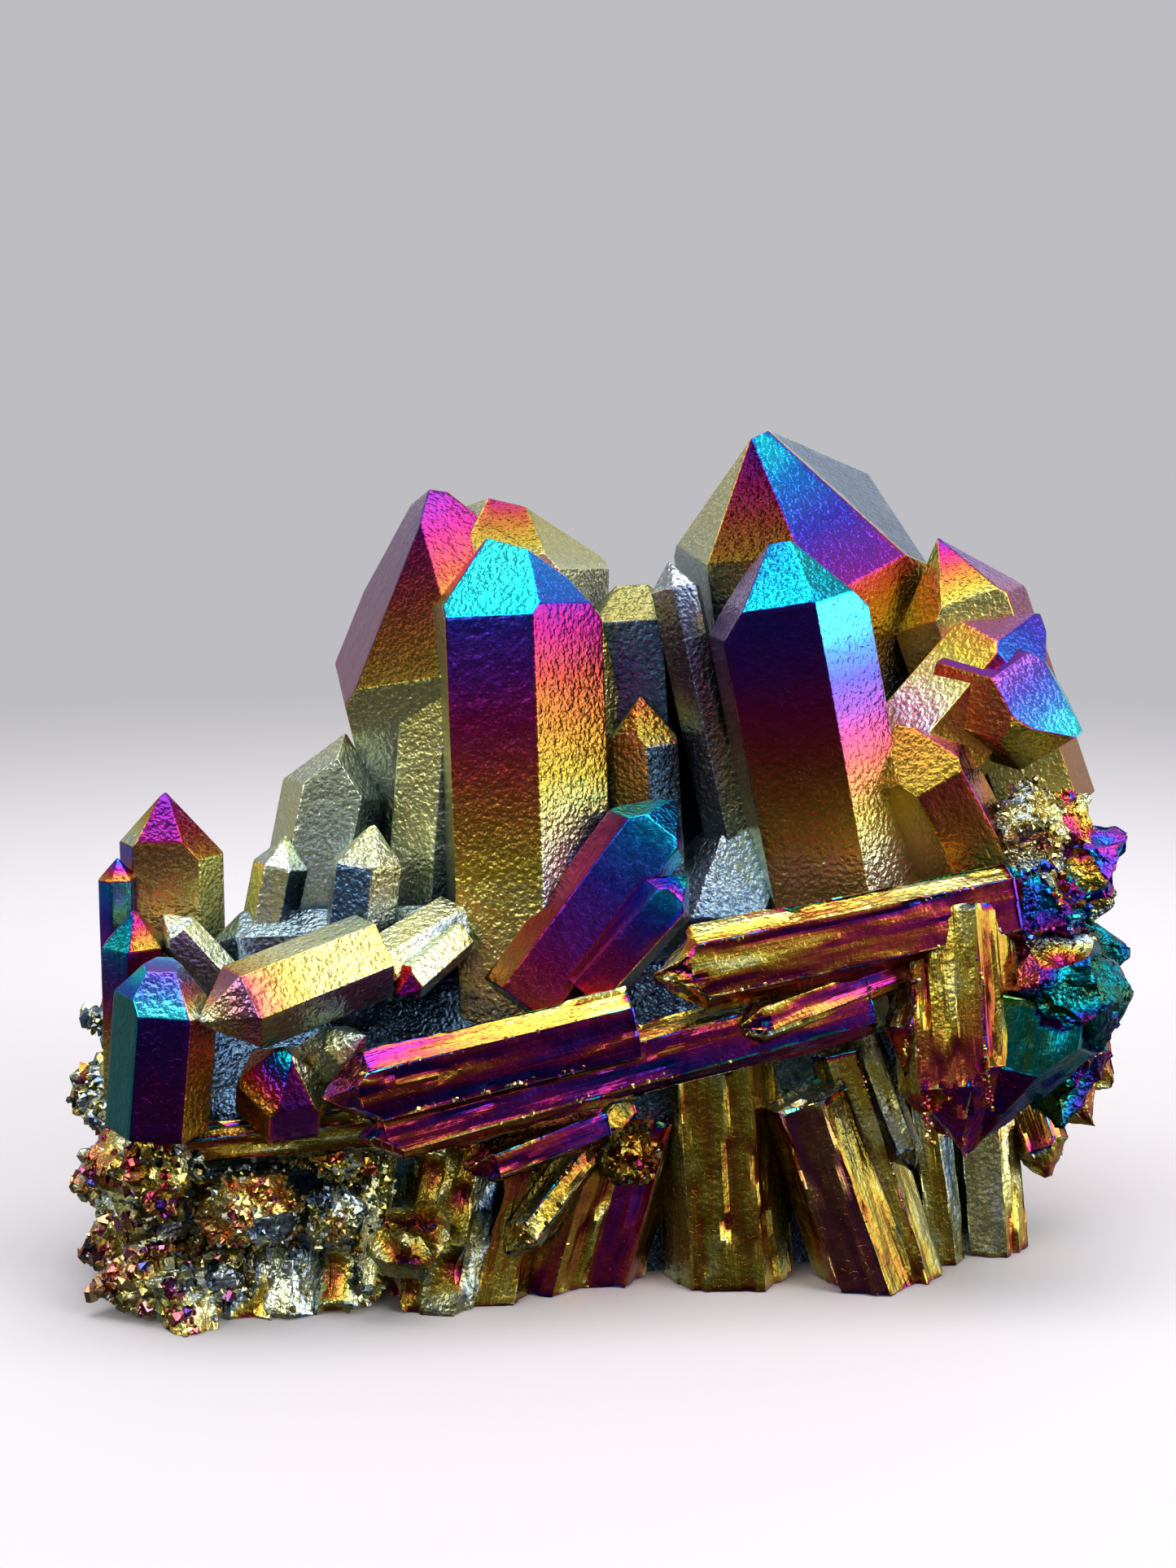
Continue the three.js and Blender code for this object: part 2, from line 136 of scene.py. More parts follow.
# Every crystal: name, tip, foot, width, turn in degrees, and what is special in its shape:
# sides, how far out each side stands; caps, how far each face of the tip is moved in (None is no
# face); cuts, more flat faces by direction and a point on them; blunt, how much of the tip is off.
CRYSTALS = [
    # tall crystals at the back
    ("west tower", [-13.5, 6, 65.5], [-3.5, 8.5, 22], 22, -23, {"sides": [1.18, 1, 1, 1, 1, 1.1],
     "caps": [-1.5, 1, 0, -5, -5, None],
     "cuts": [[[0.05, 0.3, 0.95], [-12.2, 6, 64.6]], [[-0.875, -0.22, 0.43], [-14.3, 2.9, 62]]]}),
    ("west shoulder", [-6.5, 11, 69], [-6.5, 8, 22], 15, 0,
     {"cuts": [[[0.28, 0.45, 0.85], [-11.3, 8, 64]]]}),
    ("east tower", [15.5, 9, 71], [24, 20, 22], 19, -15,
     {"sides": [0.96, 1.03, 1.22, 1.34, 0.85, 0.96], "caps": [-1.3, 1.2, None, -7, 1.5, -1.2],
     "cuts": [[[0.62, -0.3, 0.72], [28.4, 9.6, 59]], [[0.28, 0.1, 0.95], [15.6, 8, 70]]]}),
    ("thin blade", [7, 3, 59], [14.5, -1.5, 25], 4, 20),
    ("gold back", [4, 9, 59], [5.5, 3.5, 26], 9.5, -8, {"caps": [0, 0, 0, 6, 0, 0]}),
    ("north east", [30.5, 9, 61.5], [39.5, 6.5, 36], 10.5, 5),
    ("yellow", [39.5, 3, 54.5], [22.5, -1.5, 35.4], 10, 8, {"caps": [0.5, 0, 1, 0, 0.5, 0]}),
    ("cyan", [41.3, -7.5, 45.5], [32, 2, 47.5], 8.4, 0, {"caps": [-1, 0, 0, 0, 1, 2.2],
     "blunt": 0.5}),
    ("east shoulder", [41, 9, 44], [22, 8, 18], 12, 0, {"blunt": 2}),
    # upright crystals in front and the small ones between them
    ("hero left", [-6.5, -3, 62.5], [-5, -7.5, 20], 13, -17, {"sides": [0.98, 1, 1.04, 1, 1, 0.98],
     "caps": [0, -1, 0, 0, 0, -1], "cuts": [[[0.5, 0.55, 0.7], [-7.7, -5, 61.5]]]}),
    ("hero right", [15, -4, 62], [23.5, -2.5, 20], 12.3, -21, {"sides": [0.86, 1.02, 1, 1, 1, 1],
     "caps": [-0.6, -1.8, 0, 3.2, 0, 0.5]}),
    ("slender", [-11.5, -2, 53.5], [-14, -4, 22], 7, -30,
     {"cuts": [[[0, -0.2, 1], [-14.2, -2, 50]]]}),
    ("recess", [4.5, 0, 48], [6, 0, 25], 6, -30),
    ("leaning", [7.5, -8, 40.5], [-5.5, -15, 24], 6.4, 0, {"sides": [0.75, 1, 1, 0.75, 1, 1]}),
    ("companion", [8.5, -12, 34.5], [-0.5, -15, 25], 4.3, 0),
    ("triangle", [25, -5, 46.5], [36, -4, 26], 8.5, 10),
    ("silver", [13.5, 1, 40.5], [13.5, 1.5, 22], 16, 0, {"sides": [1, 0.62, 0.8, 0.5, 0.8, 1.05]}),
    ("white", [-20.5, -2, 44.5], [-25, -5, 22], 7.5, 0, {"caps": [None, 0, 0, 0, 0, 0]}),
    ("gold white", [-25, -7, 37], [-28, -8, 22], 4.2, 0),
    ("blue gold", [-17.5, -10, 38.5], [-19.5, -11, 22], 5.3, -20),
    # left group
    ("far left", [-35, -5, 40.5], [-35, -5, 14], 7.6, 0, {"sides": [0.75, 1, 1, 1, 1, 1]}),
    ("side", [-39, -8, 35], [-39, -8, 14], 3, 20),
    ("stub", [-36.5, -14, 32.5], [-37, -13, 16], 4.5, 30, {"blunt": 1}),
    ("stub ridge", [-34.5, -14, 31.5], [-26, -12, 21], 3.5, 0),
    ("post", [-32, -24, 31.5], [-33.5, -24, 16.5], 6.8, 8,
     {"cuts": [[[0.1, -0.3, 1], [-31.5, -24, 29.5]]]}),
    ("left pointing", [-30.2, -26, 25.2], [-17, -18, 29], 6.2, 20),
    ("small green", [-17, -23, 24], [-22, -20, 20], 4, 0),
    ("small pink", [-23, -24.5, 23.5], [-24, -20, 17], 6.5, 20),
    ("pink end", [-19, -18, 26.5], [-11, -10, 30], 4, 0, {"blunt": 1.2}),
    ("violet tip", [-15.5, -18, 25.5], [-10.5, -12, 29], 3, 0),
    ("plate", [-32.5, -8, 27], [-9.5, -9, 28], 5.5, 0),
    # long bars lying along the front
    ("bar one", [-21, -25, 19], [3.5, -19.5, 23.7], 4.7, -5,
     {"sides": [1, 1.3, 1.2, 1, 1.3, 1.3]}),
    ("bar two", [-18.5, -23.5, 15.5], [22.5, -15, 24.5], 4, 10,
     {"sides": [1, 1.3, 1.3, 1, 1.3, 1.3]}),
    ("bar two flap", [-10.5, -21.5, 12], [1, -16, 15], 4, 0, {"blunt": 0.8}),
    ("bar three", [4.5, -20, 27.5], [34, -14, 32.5], 5, 5,
     {"sides": [1, 1.25, 1.15, 1, 1.3, 1.3]}),
    ("bar three low", [11, -19.5, 23], [28, -13, 27.5], 3.6, 10, {"blunt": 1}),
    ("fan", [31, -17.5, 11], [29.5, -12, 31.5], 10.5, 20),
    ("fan gold", [25, -17.5, 18], [30, -12, 30.5], 5, 0),
    # rough knob and lumps on the right
    ("knob top", [35, -15, 37], [39, -7, 18], 9, 0, {"blunt": 2}),
    ("knob right", [46.5, -9, 27], [32, -7, 25], 9, 0, {"blunt": 1.5}),
    ("knob low", [39.5, -14.5, 12], [37, -7, 27], 9, 0, {"blunt": 1.5}),
    ("knob left", [30.5, -17.5, 26.5], [41, -5, 24], 9, 0, {"blunt": 1.5}),
    ("knob front", [37, -23, 26.5], [40, -2, 24], 10, 0, {"blunt": 3.5}),
    ("lump a", [36.5, -6, 43], [37.5, -3, 28], 8.5, 0, {"blunt": 2}),
    ("lump b", [42.5, -3, 41], [36, -3, 30], 7, 0, {"blunt": 1.5}),
    ("lump c", [47, -4, 36.5], [37, -3, 31], 7, 0, {"blunt": 1.5}),
    ("lump d", [47.5, 2, 29.5], [38, 2, 30], 7, 0, {"blunt": 1}),
    # broken columns and blocks of the base
    ("column a", [12.5, -12, -10], [10.5, -9, 22], 10, 0),
    ("column b", [26, -13, -8.5], [17.5, -12.5, 16], 7, 10),
    ("column c", [29.5, -12.5, -8], [21, -9, 19], 5, 0),
    ("column c bar", [27, -13.5, 9], [23, -9, 20], 3, 0),
    ("column d", [30.5, -8, -4], [28, -7, 14], 4, 0),
    ("block e", [35.5, -5.5, -6.5], [34, -3, 12], 6, 10),
    ("block f", [40, -5, 5.5], [37, 0, 15], 5, 0, {"blunt": 0.8}),
    ("block g", [44.5, -3, 9.5], [38, 1, 17], 5.5, 0, {"blunt": 0.8}),
    ("block h", [47, 0, 12.5], [37, 2, 20], 6, 0, {"blunt": 1}),
    ("red i", [-0.5, -12.5, -6], [5, -11, 14], 6, 0),
    ("red j", [-5.5, -13.5, -6.5], [0, -12, 14], 7, 20),
    ("red rib", [-7, -19.5, 4], [3, -12, 15], 4, 0, {"blunt": 0.8}),
    ("wedge k", [-8.5, -18, -5], [-5.5, -13, 10.5], 5, 0),
    ("block l", [-13.5, -18, -6.5], [-10, -13, 14], 8, 10),
    ("dome m", [-14, -26.5, 6.5], [-14.5, -10, 6], 6.5, 0, {"blunt": 1.6,
     "sides": [0.9, 0.8, 1, 0.7, 0.9, 1]}),
    ("spot n", [-17.5, -22.5, 1], [-17, -16, 12], 3, 0),
    ("block o", [-20.5, -20, -3.5], [-19.5, -15, 9], 5, 0),
    ("block p", [-24, -20.5, -3.5], [-23.5, -16, 9], 5, 20),
    ("wedge q", [-27, -21.5, -4], [-26.5, -15, 8], 5, 0),
    ("gem r", [-30, -26.5, -6], [-33, -19, 4], 5, 20),
    ("pink s", [-40.5, -21, 2], [-27, -18, 3], 6, 0),
    ("dome t", [-26.5, -28.5, 10.5], [-28, -12, 8], 9, 0, {"blunt": 2,
     "sides": [0.62, 1.05, 0.9, 0.62, 1, 0.85]}),
    ("dome u", [-20.5, -24.5, 8], [-20.5, -12, 8], 7, 15, {"blunt": 1.6,
     "sides": [0.7, 1, 0.8, 0.7, 1, 0.9]}),
    ("tooth", [-33, -25, 8.5], [-33.5, -17, 18], 6.5, 20, {"blunt": 0.8}),
    ("shelf", [-35, -21.5, 14], [-16, -20, 15.5], 3.4, 0),
    ("shelf low", [-16, -21, 12.5], [-27, -16, 14], 4, 0, {"blunt": 0.8}),
    ("crust a", [-44, -6, 21], [-34, -6, 20], 6, 0, {"blunt": 1}),
    ("crust b", [-45.5, -8, 15], [-34, -8, 14.5], 9, 0, {"blunt": 1.6}),
    ("crust c", [-45, -10, 7.5], [-34, -10, 8.5], 9, 10, {"blunt": 1.6}),
    ("crust d", [-43, -16, 2.5], [-32, -12, 6], 9, 0, {"blunt": 1.4}),
    ("crust e", [-42, -18, 11], [-32, -12, 11], 7, 0, {"blunt": 1.4}),
    ("hole rim", [3, -19.5, 11], [3.5, -8, 12.5], 5, 0, {"blunt": 1.2}),
    # back of the cluster
    ("back a", [-21, 23, 40], [-10, 8, 15], 9, 12),
    ("back b", [6, 29, 47], [4, 12, 15], 10, -8),
    ("back c", [27, 27, 38], [20, 10, 15], 9, 20),
    ("back d", [-36, 12, 22], [-20, 5, 12], 8, 5),
    ("back e", [43, 12, 30], [28, 6, 14], 9, 15),
    ("back f", [-11, 32, 25], [-4, 14, 12], 8, -15),
    ("back g", [17, 34, 21], [10, 14, 12], 9, 0),
    ("back h", [-30, 26, 15], [-14, 12, 8], 9, 25),
    ("back i", [36, 27, 14], [20, 12, 8], 9, -12),
    ("back j", [-42, 4, 12], [-24, 4, 8], 9, 8),
    ("back k", [4, 31, 9], [4, 14, 7], 8, 18),
    ("back l", [-22, 31, 27], [-12, 14, 14], 7, 30),
    ("back m", [30, 33, 26], [18, 14, 14], 7, -20),
    # broad foot of the fan, under the knob
    ("fan foot", [30.5, -17, 11.5], [33.5, -13, 24], 16, 4, {"sides": [0.72, 1, 1, 0.5, 1, 1]}),
]
NAMES = [line[0] for line in CRYSTALS]

# Corners of the rocky mass that the crystals grow from.
ROCK_CORNERS = [
    [-37, -18, 0], [-20, -16, 0], [0, -11, 0], [22, -9, 0], [32, -4, 0],
    [38, 6, 0], [30, 20, 0], [4, 26, 0], [-24, 20, 0], [-38, 6, 0],
    [-39, -14, 18], [-34, -19, 15], [-20, -18, 17], [5, -15, 19], [28, -9, 20],
    [40, 2, 20], [36, 20, 20], [5, 27, 20], [-30, 19, 18],
    [-30, -12, 25], [0, -12, 26], [24, -8, 29], [33, 4, 30],
    [20, 18, 30], [-10, 18, 28], [-28, 5, 25],
]

# Film on the faces of each crystal: thickness at the tip end and at the foot end, and how pale
# the face is (below 0 the face is darkened by painted shade instead), in hundredths. span is the
# part of the length, from the tip on, over which the film of the sides changes.
FILM = {
    "west tower": dict(all=(40, 15), cap0=(57, 34, -82), cap1=(60, 30, -30),
        cut1=(VIOLET, MAGENTA, -30), side0=(28, 14), side5=(VIOLET, GOLD, -20)),
    "west shoulder": dict(all=(20, 16, 30), cap0=(54, 25, -66), cap1=(28, 20, -40),
        cut0=(MAGENTA, GOLD, -20)),
    "east tower": dict(all=(VIOLET, GOLD, 30), cap0=(62, 37, -82), cap1=(84, 58, -5),
        cap5=(24, 20, 20), side0=(29, NAVY, -50), side1=(66, 15), side5=(17, NAVY, 30),
        cut0=(8, 5, -30), span=(15, 50)),
    "thin blade": dict(all=(6, 9, 25), side5=(7, 6, 20), caps=(10, 12, 50)),
    "gold back": dict(all=(2, 7), caps=(24, 27, -65)),
    "north east": dict(all=(VIOLET, GOLD, 20), side0=(25, 30, -10), cap0=(62, 28, -45),
        side1=(60, 40, -40), cap1=(66, 56, -35), side5=(25, 18, 30), cap5=(30, 33)),
    "yellow": dict(all=(VIOLET, GOLD), span=(5, 60), side5=(50, 14), side0=(70, 36, -10),
        cap0=(66, 74, -10), cap5=(57, 54, 20)),
    "cyan": dict(all=(VIOLET, GOLD), cap5=(88, 60, 10), cap4=(CYAN, CYAN), side5=(63, 60),
        side4=(63, 70), cap0=(36, 30, -25), cap1=(34, 30, -40), side0=(48, 36, -20),
        broken=(84, 82), foot=(66, 60)),
    "hero left": dict(all=(VIOLET, GOLD), cap0=(88, 86, -15), cap1=(76, 74), side0=(71, 28, -12),
        side1=(58, 13, -22), side5=(26, 24, 20), span=(16, 72)),
    "hero right": dict(all=(VIOLET, GOLD), cap0=(78, 83), cap1=(87, 82, -62), cap5=(60, 60, 30),
        side0=(66, 27), side1=(84, 19, 12), side5=(59, 22), span=(19, 66)),
    "slender": dict(all=(28, 20), side1=(20, 4, 20)),
    "recess": dict(all=(25, 14, -20), side1=(2, 8), caps=(45, 27, -55)),
    "leaning": dict(all=(TEAL, MAGENTA), cap0=(77, 79), cap5=(86, 83), side0=(84, 50, -25),
        side5=(66, 40, -40), span=(5, 95)),
    "companion": dict(all=(TEAL, MAGENTA), side0=(86, 54, -20), side1=(9, 14, 30),
        side5=(80, 50, -40)),
    "triangle": dict(all=(GOLD, CREAM), side5=(30, 25), side0=(50, 34, -45), cap0=(40, 33, -50),
        side1=(62, 50, 10), cap1=(60, 60, 10), cap5=(30, 30)),
    "silver": dict(all=(10, 10, 10), cap0=(11, 8), cap5=(12, 10, 20), side0=(12, 4)),
    "white": dict(all=(19, 10), side1=(8, 18), cap5=(20, 17), side5=(20, 17)),
    "gold white": dict(all=(20, 15), side1=(2, 3, 10), side5=(27, 18)),
    "blue gold": dict(all=(21, 18, -25), side0=(7, 4), side1=(24, 7, -50), cap1=(14, 18, -30)),
    "far left": dict(all=(47, 13), span=(5, 60), cap0=(61, 56, -40), cap1=(VIOLET, 37, -45),
        side0=(46, 14, 15), side1=(25, 30), side5=(TEAL, STEEL)),
    "side": dict(all=(AZURE, GOLD), side0=(92, 30, 10)),
    "stub": dict(all=(VIOLET, GOLD), side5=(90, 30, 10), cap5=(80, 90, -60), cap0=(56, 33, -30)),
    "post": dict(all=(VIOLET, INDIGO), side0=(70, 58, -25), cap0=(66, 86, 10), cap1=(83, 12, 30),
        cap5=(90, 70), cut0=(84, 60, 20), side5=(92, 88, -68), side1=(56, 36)),
    "left pointing": dict(all=(42, 30), side0=(56, 28, 10), side1=(46, 20, 10),
        side5=(30, 12, -50), caps=(14, 58, 40), span=(10, 55)),
    "small pink": dict(all=(56, 40), side0=(52, 60, -20), cap0=(55, 60), cap1=(12, 30, -20),
        cap5=(90, 33, -20)),
    "pink end": dict(all=(22, 20, 30), side0=(25, 12, -20), broken=(53, 55, 10),
        caps=(54, RED, 10)),
    "violet tip": dict(all=(15, 20, -20), caps=(VIOLET, 58)),
    "plate": dict(all=(10, 8), side1=(10, 11, -30)),
    "bar one": dict(all=(VIOLET, MAGENTA), side0=(53, 56, -10), side1=(50, 28, -10),
        side5=(44, 60, -10), caps=(62, 53, 10)),
    "bar two": dict(all=(VIOLET, MAGENTA), side0=(52, 58, -10), side1=(50, 33, -10),
        side5=(44, 58, -20)),
    "bar three": dict(all=(MAGENTA, ORANGE), side0=(40, 50), side1=(31, 25), side5=(42, 56),
        caps=(20, 50, -30)),
    "bar three low": dict(all=(40, 54), side1=(52, 40, 40)),
    "fan": dict(all=(50, GOLD), side0=(57, 34, -20), side1=(36, 28), side5=(50, 36, -50),
        caps=(55, 52), cap5=(56, 50, -20), span=(10, 60)),
    "fan gold": dict(all=(36, 33, 10), side0=(50, 30), side1=(32, 28, 10), caps=(40, 56)),
    "knob top": dict(all=(92, 62, -50), cap1=(12, 80, -60), side0=(55, 62), side5=(54, 62, 20),
        broken=(60, 90, -40)),
    "knob low": dict(all=(94, 86, -72), cap5=(80, 60, -50)),
    "knob left": dict(all=(55, 60, 30), side0=(56, 85, -40), side5=(54, 90, -40)),
    "knob front": dict(all=(95, 86, -80), broken=(56, 90, -60), cap0=(93, 87, -65),
        cap4=(57, 60, 10), cap3=(58, 6, -10)),
    "lump a": dict(all=(25, 20, 20), cap1=(30, 20)),
    "lump b": dict(all=(36, 56), cap0=(25, 50)),
    "lump c": dict(all=(64, 72), side0=(60, 36), cap0=(62, 80)),
    "column a": dict(all=(36, 30), side0=(33, 35, -25), side1=(30, 29, 10), side5=(36, 34)),
    "column b": dict(all=(RED, MAGENTA), side0=(51, 46, 20), side5=(37, 30, -40), side1=(36, 42),
        foot=(30, 22, 30)),
    "column c": dict(all=(36, 31), side5=(29, 22, -55)),
    "column d": dict(all=(30, 30), side5=(22, 10, -40)),
    "block e": dict(all=(22, 22, 20), side5=(50, 22, -10), side0=(22, 25, 10)),
    "red i": dict(all=(50, 42, 10), side0=(46, 54)),
    "red j": dict(all=(54, 42, -10), side5=(25, 40, -10)),
    "block l": dict(all=(28, 33), side0=(32, 36, -50), side5=(30, 10, -40)),
    "dome m": dict(all=(30, 33, -10), cap2=(36, 33, -60), cap0=(33, 28, -40), side3=(31, 33, -30)),
    "pink s": dict(all=(50, 28, 20), side0=(22, 20, 10)),
    "dome t": dict(all=(22, 45, 10), cap1=(10, 14, 20), side3=(30, 20)),
    "dome u": dict(all=(30, 10, 10), cap0=(26, 15), cap3=(8, 11, -40), cap2=(23, 20, -30)),
    "tooth": dict(all=(50, 25), side5=(41, 5, -60)),
    "shelf": dict(all=(30, 30), side0=(40, 28, -10), side1=(30, 40, -30), side5=(29, 21)),
    "shelf low": dict(all=(28, 29), cap0=(27, 10, -10)),
    "fan foot": dict(all=(56, 50, -20), side0=(54, 93, -65), side1=(47, 35), side5=(90, 92, -70),
        cap5=(58, 90, -60), cap0=(55, 57, -20), span=(5, 50)),
}

# Crystals with one film all over; a third number below 0 is painted shade that darkens the crystal.
EVEN_FILM = {
    "east shoulder": (30, 38, -60), "stub ridge": (20, 13), "small green": (15, 25),
    "bar two flap": (40, 55, -20), "knob right": (94, 86, -75), "lump d": (30, 10, -50),
    "column c bar": (12, 30, -50), "block f": (50, 30, -10), "block g": (46, 35, -10),
    "block h": (33, 50, -10), "red rib": (25, 38, -30), "wedge k": (30, 42, -40),
    "spot n": (20, 30, -30), "block o": (30, 20), "block p": (28, 16), "wedge q": (22, 28),
    "gem r": (50, 22, 10), "crust a": (22, 10), "crust b": (27, 15, 5), "crust c": (30, 20, 10),
    "crust d": (52, 22, 20), "crust e": (50, 20, 10), "hole rim": (36, 38, -50),
    "back a": (CYAN, GOLD), "back b": (VIOLET, CREAM), "back c": (TEAL, MAGENTA),
    "back d": (MAGENTA, GOLD), "back e": (INDIGO, ORANGE), "back f": (GOLD, STEEL),
    "back g": (VIOLET, GOLD), "back h": (AZURE, RED), "back i": (MAGENTA, CREAM),
    "back j": (TEAL, ORANGE), "back k": (RED, CREAM), "back l": (INDIGO, GOLD),
    "back m": (GOLD, SILVER),
}
FILM.update({name: {"all": film} for name, film in EVEN_FILM.items()})

# Groups of crystals that make one piece each, from the named crystal on: grid of the mesh across
# and along a crystal, rounding of the edges, kind and depth of the relief on the faces.
GROUPS = (
    ("tall_crystals", "west tower", 0.9, 0.9, 0.14, "waves", 0.05),
    ("main_points", "hero left", 0.75, 0.75, 0.12, "waves", 0.04),
    ("left_points", "far left", 0.7, 0.7, 0.10, "waves", 0.05),
    ("lying_bars", "bar one", 0.36, 0.8, 0.10, "splinters", 0.85),
    ("right_knob", "knob top", 0.42, 0.42, 0.2, "lumps", 1.35),
    ("base_blocks", "column a", 0.45, 0.75, 0.14, "splinters", 0.8),
    ("back_crystals", "back a", 1.2, 1.2, 0.16, "waves", 0.06),
    ("fan_foot", "fan foot", 0.45, 0.75, 0.14, "splinters", 0.7),
)

# Crusts of small points: piece, crystals that carry them, width of a point, points in each square
# millimetre, how much their film differs from point to point, how far the crystal under them is
# sunk, and how much the points lean.
CRUSTS = (
    ("left_crust", ("crust", "tooth", "pink s", "gem r"), 0.9, 2.2, 0.24, 0.5, 0.6),
    ("base_crust", ("dome t", "dome u", "spot n", "shelf low", "block p", "hole rim"),
     0.65, 2.4, 0.18, 0.35, 0.6),
    ("knob_crust", ("knob left", "knob top", "lump a"), 0.5, 1.4, 0.1, 0.3, 0.3),
    ("rock_crust", ("rock",), 1.5, 1.0, 0.16, 0.8, 0.6),
)

# Crystals with a sugary or lumpy surface of their own, and the depth of it.
SUGARY = ("crust", "tooth", "pink s", "gem r", "dome t", "dome u", "spot n", "block p", "hole rim")
LUMPY = ("dome m", "block l", "block o", "wedge q")
SUGARY_DEPTH, LUMPY_DEPTH = 1.2, 1.1

# Edges that have crumbled into a row of small grains: crystal, and the two sides that meet there.
CRUMBLED_EDGES = (
    ("bar one", 0, 1), ("bar one", 0, 5), ("bar two", 0, 1), ("bar two", 0, 5), ("bar two", 1, 2),
    ("bar three", 0, 1), ("bar three", 0, 5), ("bar three low", 0, 1), ("bar three low", 0, 5),
    ("bar two flap", 0, 1), ("fan", 0, 1), ("fan", 0, 5), ("fan gold", 0, 1), ("red rib", 0, 1),
    ("red rib", 0, 5), ("column b", 0, 5), ("column c", 0, 5), ("block e", 0, 5), ("red j", 0, 5),
    ("column c", 0, 1), ("wedge k", 0, 5),
)


def uneven(i, k):
    """Uneven growth: a steady number between -1 and 1 for side k of crystal i."""
    return math.sin(2.1 * i + 3.7 * k + 0.4 * i * k)


def crystal_at(i):
    """Name, tip, foot, width, turn and special shape of crystal number i."""
    name, tip, foot, across, turn, *shape = CRYSTALS[i]
    return name, Vector(tip), Vector(foot), across, turn, shape[0] if shape else {}


def growth_axes(tip, foot):
    """Directions along the crystal, ahead of it and beside it."""
    axis = (tip - foot).normalized()
    front = Vector((0, 0, math.copysign(1, axis.y))) if abs(axis.y) > 0.9 else Vector((0, -1, 0))
    ahead = (front - axis * front.dot(axis)).normalized()
    return axis, ahead, axis.cross(ahead)


def crystal_faces(i, tip, foot, across, turn, shape):
    """All flat faces of crystal number i: name, outward direction and distance from the origin."""
    axis, ahead, beside = growth_axes(tip, foot)
    faces = [("foot", -axis, -axis.dot(foot))]
    for k in range(6):
        angle = math.radians(turn + 60 * k)
        side = ahead * math.cos(angle) + beside * math.sin(angle)
        share = shape["sides"][k] if "sides" in shape else 1 + SIDE_UNEVEN * uneven(i, k)
        faces.append((f"side{k}", side, side.dot(foot) + across / 2 * share))
        drop = shape["caps"][k] if "caps" in shape else CAP_UNEVEN * across * (1 + uneven(i, k + 2))
        if drop is not None:
            lean = side * math.sin(TIP_SLOPE) + axis * math.cos(TIP_SLOPE)
            faces.append((f"cap{k}", lean, lean.dot(tip - axis * drop)))
    if "blunt" in shape:
        lean = axis + ahead * BREAK_LEAN * uneven(i, 3) + beside * BREAK_LEAN * uneven(i, 5)
        lean.normalize()
        faces.append(("broken", lean, lean.dot(tip - axis * shape["blunt"])))
    for number, (direction, point) in enumerate(shape.get("cuts", [])):
        normal = Vector(direction).normalized()
        faces.append((f"cut{number}", normal, normal.dot(Vector(point))))
    return faces


def everything(body):
    """All corners, edges and faces of a body."""
    return body.verts[:] + body.edges[:] + body.faces[:]


def cut_flat(body, normal, distance):
    """Takes away what stands in front of a flat face, and closes the cut."""
    cut = bmesh.ops.bisect_plane(
        body, geom=everything(body), dist=SAME_PLANE, plane_co=normal * distance, plane_no=normal,
        clear_outer=True,
    )
    rim = [
        part for part in cut["geom_cut"]
        if isinstance(part, bmesh.types.BMEdge) and part.is_boundary
    ]
    if rim:
        bmesh.ops.edgeloop_fill(body, edges=rim)


def plain_body(faces, tip, foot, across):
    """One crystal as a closed body of flat faces."""
    body = bmesh.new()
    size = RAW_BLOCK * ((tip - foot).length + across)
    bmesh.ops.create_cube(body, size=size, matrix=Matrix.Translation((tip + foot) / 2))
    for _, normal, distance in faces:
        cut_flat(body, normal, distance)
    return body


def grown_body(i, tip, foot, across, turn, shape, grids, rounding):
    """One crystal with rounded edges, cut off at the bottom and ruled with a fine grid."""
    faces = crystal_faces(i, tip, foot, across, turn, shape)
    body = plain_body(faces, tip, foot, across)
    cut_flat(body, Vector((0, 0, -1)), -BOTTOM_GAP)
    bmesh.ops.remove_doubles(body, verts=body.verts, dist=CLOSE_CORNERS)
    bmesh.ops.dissolve_degenerate(body, dist=1e-3, edges=body.edges)
    bmesh.ops.bevel(
        body, geom=body.edges[:], offset=rounding, offset_type="OFFSET", segments=BEVEL_STEPS,
        profile=0.5, affect="EDGES", clamp_overlap=True, material=-1,
    )
    for ruler, grid in zip(growth_axes(tip, foot), grids):
        reach = [ruler.dot(vert.co) for vert in body.verts]
        low, high = min(reach), max(reach)
        count = int((high - low) / grid)
        for step in range(1, count):
            place = ruler * (low + step * (high - low) / count)
            bmesh.ops.bisect_plane(
                body, geom=everything(body), dist=SAME_PLANE, plane_co=place, plane_no=ruler
            )
    return body, faces


def faceted(point, size):
    """Height of a broken surface made of small tilted flats, between about -0.5 and 0.5."""
    scaled = point / size
    seed = noise.voronoi(scaled)[1][0]
    tilt = noise.cell_vector(seed * 37.0) - Vector((0.5, 0.5, 0.5))
    return tilt.dot(scaled - seed)


def waves(place, grain):
    """Almost flat growth face."""
    return 0.6 * (noise.noise(place / 4) - 0.4)


def lumps(place, grain):
    """Rough broken face with ridges and hollows."""
    ridge = 0.3 - 1.2 * abs(noise.noise(place / 3.6))
    coarse = ridge + 0.7 * faceted(place, 4.2) + 0.4 * faceted(place, 1.9)
    return coarse + 0.16 * faceted(place, 0.8) - 0.35


def splinters(place, grain):
    """Long ledges and furrows that run along the crystal."""
    return faceted(grain, 1.0) + 0.35 * faceted(grain, 0.45) + 0.12 * faceted(place, 0.9) - 0.3


def sugar(place, grain):
    """Grown-together grains."""
    apart, _ = noise.voronoi(place / 1.3)
    return 0.9 * faceted(place, 4.4) + 0.4 - 0.75 * apart[0] + 0.35 * faceted(place, 0.7)


